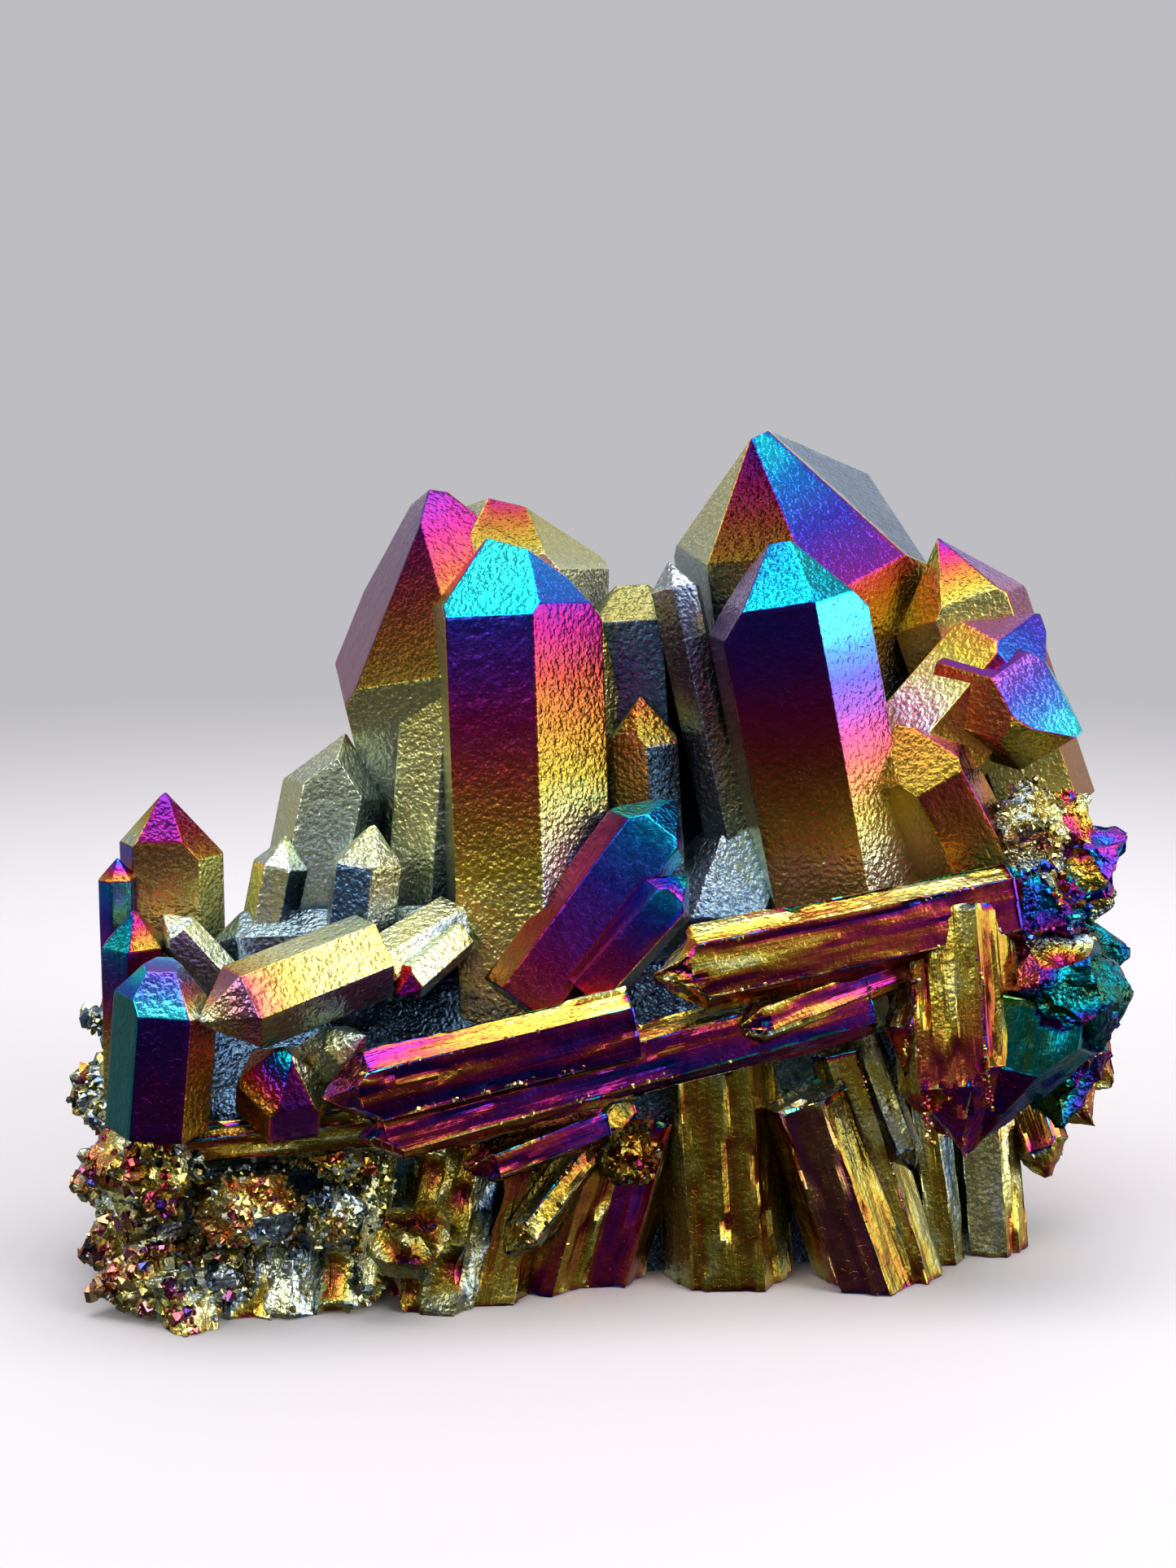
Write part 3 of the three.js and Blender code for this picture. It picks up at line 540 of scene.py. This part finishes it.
# Reliefs by name, what they do to the film on their crests and on flats that look up, and which
# of them stay faceted.
RELIEFS = {"waves": waves, "lumps": lumps, "splinters": splinters, "sugar": sugar}
FILM_ON_CRESTS = {"waves": 0.0, "lumps": -0.35, "splinters": -0.2, "sugar": -0.1}
FILM_ON_UPPER_FLATS = {"waves": 0.0, "lumps": -0.15, "splinters": -0.42, "sugar": 0.0}
BROKEN_RELIEFS = ("sugar", "lumps")

# Usual span of the film, how far it blends over an edge (squared), how near a face counts as on
# it, room between the growth grids of two crystals, and size and shift of the grain.
FILM_SPAN = (12, 75)
EDGE_BLEND = 0.0016
ON_FACE = 0.02
GROWTH_APART = 31
GRAIN_WIDTH, GRAIN_LENGTH, GRAIN_SHIFT = 2.3, 14, 0.7


def film_for(name, label):
    """Film on one face: thickness at the tip end, at the foot end, and paleness, which below 0 is
    painted shade.
    """
    films = FILM[name]
    kind = label.rstrip("0123456789") + "s"
    top, low, *pale_and_shade = films.get(label) or films.get(kind) or films["all"]
    return top / 100, low / 100, pale_and_shade[0] / 100 if pale_and_shade else 0.0


def crust_on(name):
    """The crust that the named crystal carries, or None."""
    return next((crust for crust in CRUSTS if name.startswith(crust[1])), None)


def gaps_to_faces(places, faces):
    """Outward directions of the faces, and how far in front of each face every place is."""
    normals = np.array([normal for _, normal, _ in faces])
    return normals, places @ normals.T - np.array([distance for _, _, distance in faces])


def film_on_faces(name, faces, places, tip, foot):
    """Film thickness, paleness with painted shade, orange peel and outward direction at each place
    on a crystal.
    """
    axis = np.array((tip - foot).normalized())
    length = (tip - foot).length
    along = (places - np.array(foot)) @ axis
    start, end = (share / 100 for share in FILM[name].get("span", FILM_SPAN))
    normals, gaps = gaps_to_faces(places, faces)
    weights = 1 / (gaps ** 2 + EDGE_BLEND) ** 2
    weights /= weights.sum(axis=1, keepdims=True)
    film, pale_and_shade, peel = np.zeros(len(places)), np.zeros(len(places)), np.zeros(len(places))
    for number, (label, _, _) in enumerate(faces):
        top, low, paleness_and_shade = film_for(name, label)
        if label.startswith("side"):
            share = (1 - along / length - start) / (end - start)
        else:
            on_face = along[np.abs(gaps[:, number]) < ON_FACE]
            high, bottom = (on_face.max(), on_face.min()) if len(on_face) else (length, 0.0)
            share = (high - along) / max(high - bottom, 0.1)
        film += weights[:, number] * (top + (low - top) * np.clip(share, 0, 1))
        pale_and_shade += weights[:, number] * paleness_and_shade
        if label.startswith("cap") or label == "side1":
            peel += weights[:, number]
    outward = weights @ normals
    return film, pale_and_shade, peel, outward / np.linalg.norm(outward, axis=1, keepdims=True)


def coat_crystal(mesh, i, name, faces, tip, foot, relief, depth, light_blocked):
    """Writes the film of one crystal and the openness that darkens its colour as painted shade on
    its mesh, and gives its faces their relief.
    """
    crust = crust_on(name)
    sunk = crust[5] if crust else 0.0
    if name.startswith(SUGARY):
        relief, depth = "sugar", SUGARY_DEPTH
    if name.startswith(LUMPY):
        relief, depth = "lumps", LUMPY_DEPTH
    axis, ahead, beside = growth_axes(tip, foot)
    places = np.array([vert.co for vert in mesh.vertices])
    film, pale_and_shade, peel, outwards = film_on_faces(name, faces, places, tip, foot)
    for key in ("film", "pale_and_shade", "peel", "open"):
        mesh.attributes.new(key, "FLOAT", "POINT")
    mesh.attributes.new("growth", "FLOAT_VECTOR", "POINT")
    layers = {key: mesh.attributes[key].data for key in ("film", "pale_and_shade", "peel", "open", "growth")}
    for vert, outward in zip(mesh.vertices, map(Vector, outwards)):
        place = vert.co.copy()
        local = place - foot
        grown = Vector((ahead.dot(local), beside.dot(local), axis.dot(local)))
        along = grown.z / GRAIN_LENGTH + GRAIN_SHIFT * i
        grain = Vector((grown.x / GRAIN_WIDTH, grown.y / GRAIN_WIDTH, along))
        rise = RELIEFS[relief](place, grain)
        layers["film"][vert.index].value = film[vert.index] + FILM_ON_CRESTS[relief] * (rise + 0.3)
        layers["pale_and_shade"][vert.index].value = pale_and_shade[vert.index]
        layers["peel"][vert.index].value = 1.0 if relief in BROKEN_RELIEFS else peel[vert.index]
        layers["growth"][vert.index].vector = grown + Vector((GROWTH_APART * i, 0, 0))
        # Painted shade: places where the cluster blocks outside light get a darker colour.
        layers["open"][vert.index].value = 1 - light_blocked(place, outward)
        vert.co = place + outward * (min(depth * rise, 0.8 * sunk) - sunk)
        vert.co.z = max(vert.co.z, BOTTOM_GAP)
    mesh.update()
    for vert, outward in zip(mesh.vertices, outwards):
        upper = vert.normal.z - outward[2]
        layers["film"][vert.index].value += FILM_ON_UPPER_FLATS[relief] * upper
    for polygon in mesh.polygons:
        polygon.use_smooth = relief not in BROKEN_RELIEFS


def light_blocker():
    """Returns a function that says how much outside light is blocked at a point of the cluster."""
    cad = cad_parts["quartz_cluster"].data
    solid = BVHTree.FromPolygons(
        [v.co / MM + BOX_MIDDLE for v in cad.vertices], [tuple(p.vertices) for p in cad.polygons]
    )
    turns = [(math.sqrt((n + 0.5) / OPEN_RAYS), GOLDEN_TURN * n) for n in range(OPEN_RAYS)]

    def light_blocked(place, outward):
        """Share of rays that end on the cluster, near ones counting most."""
        side = outward.orthogonal().normalized()
        other = outward.cross(side)
        start = place + outward * OPEN_START
        hits = 0.0
        for wide, angle in turns:
            aside = side * math.cos(angle) + other * math.sin(angle)
            ray = outward * math.sqrt(1 - wide * wide) + aside * wide
            distance = solid.ray_cast(start, ray, OPEN_REACH)[3]
            if distance is not None:
                hits += 1 - distance / OPEN_REACH
        return hits / len(turns)

    return light_blocked


def as_mesh(name, body):
    """Turns a finished body into a mesh."""
    mesh = bpy.data.meshes.new(name)
    body.to_mesh(mesh)
    body.free()
    return mesh


def new_object(name, data):
    """A new object in the scene."""
    thing = bpy.data.objects.new(name, data)
    bpy.context.scene.collection.objects.link(thing)
    return thing


def finish_piece(name, body, material, flat=False):
    """Moves a finished body from the bench into the part's frame as one piece of the cluster."""
    bmesh.ops.translate(body, vec=-BOX_MIDDLE, verts=body.verts)
    bmesh.ops.scale(body, vec=(MM, MM, MM), verts=body.verts)
    if flat:
        for face in body.faces:
            face.smooth = False
    mesh = as_mesh(name, body)
    mesh.materials.append(material)
    piece = new_object(name, mesh)
    if not flat:
        mesh.set_sharp_from_angle(angle=SHARP_FROM)
        shading = piece.modifiers.new("crisp_edges", "WEIGHTED_NORMAL")
        shading.mode = "FACE_AREA"
        shading.weight = 60
        shading.keep_sharp = True
    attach(piece, "root")
    return piece


def srgb(colour):
    """Linear colour of a colour given in display values from 0 to 255."""
    shares = [value / 255 for value in colour]
    linear = [v / 12.92 if v <= 0.04045 else ((v + 0.055) / 1.055) ** 2.4 for v in shares]
    return (*linear, 1.0)


def add(tree, kind, settings=(), **inputs):
    """A new node with its settings and input values; an input may be another node's output."""
    node = tree.nodes.new("ShaderNode" + kind)
    for key, value in dict(settings).items():
        setattr(node, key, value)
    for key, value in inputs.items():
        numbered = key[0] == "i" and key[1:].isdigit()
        socket = node.inputs[int(key[1:]) if numbered else key.replace("_", " ")]
        if isinstance(value, bpy.types.NodeSocket):
            tree.links.new(value, socket)
        else:
            socket.default_value = value
    return node


def clean_tree(owner):
    """The empty node tree of a material or of the surroundings."""
    owner.use_nodes = True
    owner.node_tree.nodes.clear()
    return owner.node_tree


def stored(tree, name):
    """Values that are stored on the mesh."""
    return add(tree, "Attribute", {"attribute_name": name}).outputs


def clouds(tree, place, scale, detail, **more):
    """Soft noise between 0 and 1."""
    return add(tree, "TexNoise", Vector=place, Scale=scale, Detail=detail, **more).outputs["Fac"]


def ranged(tree, value, low, high, to_low, to_high, **settings):
    """A value carried from one range over to another, and held at the ends."""
    ends = {"i1": low, "i2": high, "i3": to_low, "i4": to_high}
    return add(tree, "MapRange", settings, Value=value, **ends).outputs[0]


def vectors(tree, operation, **inputs):
    """The results of a calculation with directions."""
    return add(tree, "VectorMath", {"operation": operation}, **inputs).outputs


def strayed(tree, value, cloud, amount):
    """The value with noise added, up to the amount on either side."""
    return maths(tree, "MULTIPLY_ADD", maths(tree, "SUBTRACT", cloud, 0.5), 2 * amount, value)


def maths(tree, operation, first, second=0.0, third=0.0):
    """The result of a calculation."""
    return add(tree, "Math", {"operation": operation}, i0=first, i1=second, i2=third).outputs[0]


def aura_film(name, spread, patch, streaks, hammer, gloss, specks):
    """Metal film on quartz: a rainbow by film thickness, darkened by painted shade, over a finely
    hammered surface.
    """
    material = bpy.data.materials.new(name)
    tree = clean_tree(material)
    place = add(tree, "TexCoord").outputs["Object"]
    bench = add(tree, "Mapping", Vector=place, Scale=[1 / MM] * 3).outputs[0]
    keys = ("film", "pale_and_shade", "peel", "open")
    film, pale_and_shade, peel, openness = (stored(tree, key)["Fac"] for key in keys)
    growth = stored(tree, "growth")["Vector"]

    speck = clouds(tree, bench, FLATS_PER_MM, 2)
    thick = strayed(tree, film, clouds(tree, bench, 1 / patch, 4, Roughness=0.6), spread)
    thick = strayed(tree, thick, speck, specks)
    lines = add(tree, "Mapping", Vector=growth, Scale=(0.9, 0.9, 0.07)).outputs[0]
    thick = strayed(tree, thick, clouds(tree, lines, 1.0, 3, Roughness=0.65), streaks)
    deep = maths(tree, "POWER", maths(tree, "SUBTRACT", 1.0, openness), 2.0)
    thick = maths(tree, "MULTIPLY", thick, maths(tree, "MULTIPLY_ADD", deep, -0.4, 1.0))
    thin = ranged(tree, thick, 0.50, 0.26, 0.25, 1.0)
    rainbow = add(tree, "ValToRGB", Fac=thick)
    ramp = rainbow.color_ramp
    for position, colour in FILM_COLOURS[1:-1]:
        ramp.elements.new(position / 100).color = srgb(colour)
    ramp.elements[0].color = srgb(FILM_COLOURS[0][1])
    ramp.elements[-1].color = srgb(FILM_COLOURS[-1][1])
    misty = add(
        tree, "Mix", {"data_type": "RGBA"}, Factor=pale_and_shade, i6=rainbow.outputs["Color"], i7=srgb(MIST)
    ).outputs[2]
    # Painted shade: the colour is darkened where the cluster blocks outside light, and on faces
    # whose paleness is below 0.
    shade = ranged(tree, openness, 0.08, 0.6, 0.3, 1.0)
    # Painted shade on whole faces: paleness below 0 darkens the colour.
    painted_face_shade = maths(tree, "ADD", maths(tree, "MINIMUM", pale_and_shade, 0.0), 1.0)
    shade = maths(tree, "MULTIPLY", shade, painted_face_shade)
    colour = vectors(tree, "SCALE", i0=misty, Scale=shade)[0]

    scaled = vectors(tree, "SCALE", i0=bench, Scale=FLATS_PER_MM)[0]
    flats = add(tree, "TexVoronoi", Vector=scaled, Scale=1.0)
    offset = vectors(tree, "SUBTRACT", i0=scaled, i1=flats.outputs["Position"])[0]
    tilt = vectors(tree, "SUBTRACT", i0=flats.outputs["Color"], i1=(0.5, 0.5, 0.5))[0]
    facet = vectors(tree, "DOT_PRODUCT", i0=offset, i1=tilt)["Value"]
    lines = add(tree, "Mapping", Vector=growth, Scale=(3.0, 3.0, 0.12)).outputs[0]
    stripe = clouds(tree, lines, 1.0, 3)
    rise = clouds(tree, bench, 0.55, 3)
    pebble = clouds(tree, bench, 2.4, 1.5, Roughness=0.5)
    height = maths(tree, "MULTIPLY", facet, hammer / FLATS_PER_MM)
    height = maths(tree, "MULTIPLY_ADD", pebble, 1.6 * hammer, height)
    hammered = maths(tree, "MULTIPLY_ADD", peel, 0.55, maths(tree, "MULTIPLY", thin, 0.75))
    height = maths(tree, "MULTIPLY", height, hammered)
    height = maths(tree, "MULTIPLY_ADD", stripe, 0.02 + 0.3 * streaks, height)
    height = maths(tree, "MULTIPLY_ADD", rise, 0.08, height)
    relief = add(tree, "Bump", Strength=1.0, Distance=MM, Height=height).outputs[0]

    rough = maths(tree, "MULTIPLY_ADD", speck, 0.14, gloss - 0.07)
    rough = maths(tree, "MULTIPLY_ADD", thin, 0.10, rough)
    coat = add(
        tree, "BsdfPrincipled",
        Base_Color=colour, Metallic=1.0, Roughness=rough, Normal=relief,
    )
    add(tree, "OutputMaterial", Surface=coat.outputs[0])
    return material


def build_cluster(light_blocked, coats):
    """The crystals, one piece for each group."""
    starts = [NAMES.index(group[1]) for group in GROUPS]
    ends = starts[1:] + [len(CRYSTALS)]
    pieces = []
    for group, first, last in zip(GROUPS, starts, ends):
        piece, _, across_grid, along_grid, rounding, relief, depth = group
        body = bmesh.new()
        for i in range(first, last):
            name, tip, foot, across, turn, shape = crystal_at(i)
            grids = (along_grid, across_grid, across_grid)
            crystal, faces = grown_body(i, tip, foot, across, turn, shape, grids, rounding)
            mesh = as_mesh("crystal", crystal)
            coat_crystal(mesh, i, name, faces, tip, foot, relief, depth, light_blocked)
            body.from_mesh(mesh)
            bpy.data.meshes.remove(mesh)
        pieces.append(finish_piece(piece, body, coats[relief]))
    return pieces


def surface_by_host():
    """The outside as triangles, each with the crystal and the face that it belongs to."""
    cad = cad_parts["quartz_cluster"].data
    cad.calc_loop_triangles()
    points = np.array([v.co for v in cad.vertices]) / MM + np.array(BOX_MIDDLE)
    triangles = points[np.array([t.vertices for t in cad.loop_triangles])]
    middles = triangles.mean(axis=1)
    nearest = np.full(len(middles), HOST_REACH)
    hosts = [("rock", "rock")] * len(middles)
    for i in range(len(CRYSTALS)):
        name, *placed = crystal_at(i)
        faces = crystal_faces(i, *placed)
        _, gaps = gaps_to_faces(middles, faces)
        outermost = gaps.argmax(axis=1)
        gap = np.abs(gaps.max(axis=1))
        for t in np.nonzero(gap < nearest)[0]:
            nearest[t] = gap[t]
            hosts[t] = (name, faces[outermost[t]][0])
    return triangles, hosts


def point_moulds():
    """A few small pointed crystals of width 1, that the crusts are made from."""
    moulds = []
    for i in range(MOULDS):
        tip, foot = Vector((0, 0, POINT_LENGTH + 0.2 * uneven(i, 1))), Vector((0, 0, 0))
        body = plain_body(crystal_faces(i, tip, foot, 1.0, 0, {}), tip, foot, 1.0)
        bmesh.ops.remove_doubles(body, verts=body.verts, dist=0.06)
        moulds.append(as_mesh("mould", body))
    return moulds


def points_piece(piece, seats, light_blocked, coat):
    """One piece with a small point on each seat: place, direction, width, film and paleness (below
    0 painted shade).
    """
    moulds = point_moulds()
    whole = bmesh.new()
    for first in range(0, len(seats), BATCH):
        batch = bmesh.new()
        for key in ("film", "pale_and_shade", "open"):
            batch.verts.layers.float.new(key)
        batch.verts.layers.float_vector.new("growth")
        for number, seat in enumerate(seats[first:first + BATCH], first):
            place, outward, width, film, pale_and_shade = seat
            before = len(batch.verts)
            batch.from_mesh(moulds[number % len(moulds)])
            batch.verts.ensure_lookup_table()
            new = batch.verts[before:]
            upright = outward.to_track_quat("Z", "Y").to_matrix().to_4x4()
            turn = upright @ Matrix.Rotation(GOLDEN_TURN * number, 4, "Z")
            length = POINT_LENGTH * width
            foot = place - outward * POINT_IN_GROUND * length
            seated = Matrix.Translation(foot) @ turn @ Matrix.Scale(width, 4)
            bmesh.ops.transform(batch, matrix=seated, verts=new)
            layers = batch.verts.layers.float
            film_layer, pale_and_shade_layer, open_layer = layers["film"], layers["pale_and_shade"], layers["open"]
            growth_layer = batch.verts.layers.float_vector["growth"]
            lit = 1 - light_blocked(place, outward)
            for vert in new:
                height = outward.dot(vert.co - foot) / length
                vert.co.z = max(vert.co.z, BOTTOM_GAP)
                vert[film_layer] = film + 0.08 * (height - 0.5)
                vert[pale_and_shade_layer] = pale_and_shade
                # Painted shade: the open value falls towards the foot of each point, darkening its
                # colour there.
                vert[open_layer] = lit * (0.8 + 0.5 * height)
                vert[growth_layer] = vert.co
        mesh = as_mesh("batch", batch)
        whole.from_mesh(mesh)
        bpy.data.meshes.remove(mesh)
    return finish_piece(piece, whole, coat, flat=True)


def film_on_rock(place):
    """Thin film in the hollows at the front, thicker towards the back."""
    share = min(max((place.y + 2) / 8 + 1.2 * noise.noise(place / 5), 0), 1)
    return 0.05 + share * (0.31 + 0.35 * noise.noise(place / 9))


def crusts(light_blocked, coat):
    """Crusts of small points on the crystals and on the rock that carry them."""
    triangles, hosts = surface_by_host()
    pieces = []
    for piece, carriers, width, density, spread, sunk, leaning in CRUSTS:
        chance = random.Random(piece)
        seats = []
        for (a, b, c), (name, label) in zip(triangles, hosts):
            if not name.startswith(carriers):
                continue
            a, b, c = map(Vector, (a, b, c))
            outward = (b - a).cross(c - a)
            area = outward.length / 2
            outward.normalize()
            for _ in range(int(area * density + chance.random())):
                u, v = sorted((chance.random(), chance.random()))
                place = a * u + b * (v - u) + c * (1 - v)
                lean = Vector([chance.uniform(-leaning, leaning) for _ in range(3)])
                size = width * (0.45 + 1.0 * chance.random() ** 2)
                if noise.noise(place / 3.1) < chance.uniform(-0.6, 0.1):
                    continue
                if name == "rock":
                    top = low = film_on_rock(place)
                    pale_and_shade = 0.0
                    if top < ROCK_POINTS_FROM:
                        continue
                else:
                    top, low, pale_and_shade = film_for(name, label)
                drift = 1.3 * noise.noise(place / 2.4) + 0.6 * chance.uniform(-1, 1)
                film = max(top + (low - top) * chance.random() + spread * drift, POINT_FILM_FROM)
                place = place - outward * 0.7 * sunk * chance.random()
                if place.z > 0.6 * size and place.x > LEFT_END + size:
                    pale_and_shade += 0.12 * chance.random()
                    seats.append((place, (outward + lean).normalized(), size, film, pale_and_shade))
        pieces.append(points_piece(piece, seats, light_blocked, coat))
    return pieces


def crumbled_edges(light_blocked, coat):
    """Rows of small grains along broken edges."""
    chance = random.Random("edges")
    seats = []
    for name, one, other in CRUMBLED_EDGES:
        i = NAMES.index(name)
        _, tip, foot, *placed = crystal_at(i)
        axis = (tip - foot).normalized()
        faces = {
            label: (normal, distance - normal.dot(foot))
            for label, normal, distance in crystal_faces(i, tip, foot, *placed)
        }
        (first, reach), (second, further) = faces[f"side{one}"], faces[f"side{other}"]
        overlap = first.dot(second)
        share = (reach - further * overlap) / (1 - overlap ** 2)
        rest = (further - reach * overlap) / (1 - overlap ** 2)
        corner = foot + first * share + second * rest
        length = (tip - foot).length
        along = 0.04 * length
        while along < 0.86 * length:
            along += chance.uniform(0.06, 0.26)
            width = chance.uniform(0.18, 0.42)
            lean = Vector([chance.uniform(-0.7, 0.7) for _ in range(3)])
            outward = (first + second + lean).normalized()
            inward = first * chance.uniform(-0.6, -0.1) + second * chance.uniform(-0.6, -0.1)
            place = corner + axis * along + inward
            if noise.noise(place / 2.2) < -0.2:
                continue
            film = 0.36 + 0.2 * noise.noise(place / 4) + 0.08 * chance.uniform(-1, 1)
            if place.z > 1:
                seats.append((place, outward, width, film, 0.3 * chance.random()))
    return points_piece("crumbled_edges", seats, light_blocked, coat)


def rock(coat):
    """The rocky mass between the feet of the crystals."""
    body = bmesh.new()
    for corner in ROCK_CORNERS:
        body.verts.new(corner)
    bmesh.ops.convex_hull(body, input=body.verts)
    bmesh.ops.triangulate(body, faces=body.faces)
    bmesh.ops.subdivide_edges(body, edges=body.edges, cuts=6, use_grid_fill=True)
    body.normal_update()
    for vert in body.verts:
        push = vert.normal * (1.4 * faceted(vert.co, 4.0) - 1.5)
        if vert.co.z < 0.5:
            push.z = 0
        vert.co += push
    film = body.verts.layers.float.new("film")
    openness = body.verts.layers.float.new("open")
    for vert in body.verts:
        vert[film] = film_on_rock(vert.co)
        # Painted shade: the whole rock counts as half open, which darkens its colour.
        vert[openness] = 0.5
    return finish_piece("rock", body, coat)


def softbox(name, place, aim, wide, high, power, colour):
    """A soft rectangular light."""
    light = bpy.data.lights.new(name, "AREA")
    light.shape = "RECTANGLE"
    light.size, light.size_y, light.energy, light.color = wide, high, power, colour
    lamp = new_object(name, light)
    lamp.location = place
    lamp.rotation_euler = (Vector(aim) - Vector(place)).to_track_quat("-Z", "Y").to_euler()


def pale_floor():
    """Pale floor that turns into the plain surround away from the cluster."""
    material = bpy.data.materials.new("pale_floor")
    tree = clean_tree(material)
    place = add(tree, "TexCoord").outputs["Object"]
    away = vectors(tree, "LENGTH", i0=place)["Value"]
    far = ranged(tree, away, 0.1, 0.42, 0.0, 1.0, interpolation_type="SMOOTHSTEP")
    paint = add(tree, "BsdfPrincipled", Base_Color=(0.62, 0.6, 0.62, 1), Roughness=0.85)
    surround = add(tree, "Emission", Color=srgb(SURROUND), Strength=1.0)
    mixed = add(tree, "MixShader", i0=far, i1=paint.outputs[0], i2=surround.outputs[0]).outputs[0]
    add(tree, "OutputMaterial", Surface=mixed)
    return material


def studio():
    """Pale floor, soft lights and a plain pale surround."""
    body = bmesh.new()
    bmesh.ops.create_grid(body, x_segments=1, y_segments=1, size=3.0)
    mesh = as_mesh("floor", body)
    mesh.materials.append(pale_floor())
    floor = new_object("floor", mesh)
    floor.visible_glossy = False

    for light in LIGHTS:
        softbox(*light)

    world = bpy.data.worlds.new("studio")
    bpy.context.scene.world = world
    tree = clean_tree(world)
    direction = add(tree, "TexCoord").outputs["Generated"]
    parts = add(tree, "SeparateXYZ", Vector=direction)
    back = ranged(tree, parts.outputs["Y"], -0.5, 0.4, 0.095, 0.42)
    side = ranged(tree, parts.outputs["X"], 0.3, 1.0, 0.0, 0.5)
    up = ranged(tree, parts.outputs["Z"], 0.6, 1.0, 0.0, 0.6)
    below = ranged(tree, parts.outputs["Z"], -0.5, 0.0, 0.3, 1.0)
    bright = maths(tree, "MULTIPLY", maths(tree, "ADD", maths(tree, "ADD", back, side), up), below)
    for aim, spread, strength in GLOWS:
        near = vectors(tree, "DOT_PRODUCT", i0=direction, i1=Vector(aim).normalized())["Value"]
        edge = math.cos(math.radians(spread))
        full = 1 - 0.4 * (1 - edge)
        glow = ranged(tree, near, edge, full, 0.0, strength, interpolation_type="SMOOTHSTEP")
        bright = maths(tree, "ADD", bright, glow)
    shown = add(tree, "LightPath").outputs["Is Camera Ray"]
    surround = add(tree, "Background", Color=(1, 0.98, 1.0, 1), Strength=bright).outputs[0]
    wall = add(tree, "Background", Color=srgb(SURROUND), Strength=1.0).outputs[0]
    mixed = add(tree, "MixShader", i0=shown, i1=surround, i2=wall).outputs[0]
    add(tree, "OutputWorld", Surface=mixed)


def camera():
    """The view from the front, a little from above."""
    data = bpy.data.cameras.new("camera")
    data.sensor_fit = "AUTO"
    data.sensor_width = SENSOR_WIDTH
    data.lens = LENS
    data.clip_start, data.clip_end = 0.01, 10
    view = new_object("camera", data)
    view.location = (Vector(EYE) - BOX_MIDDLE) * MM
    view.rotation_euler = (EYE_TILT, 0, 0)
    bpy.context.scene.camera = view


light_blocked = light_blocker()
coats = {key: aura_film(*look) for key, look in FILM_LOOKS.items()}
pieces = build_cluster(light_blocked, coats)
pieces.append(rock(coats["lumps"]))
pieces.extend(crusts(light_blocked, coats["points"]))
pieces.append(crumbled_edges(light_blocked, coats["points"]))
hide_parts("quartz_cluster")
studio()
camera()
bpy.context.scene.view_settings.view_transform = "Standard"
bpy.context.view_layer.update()
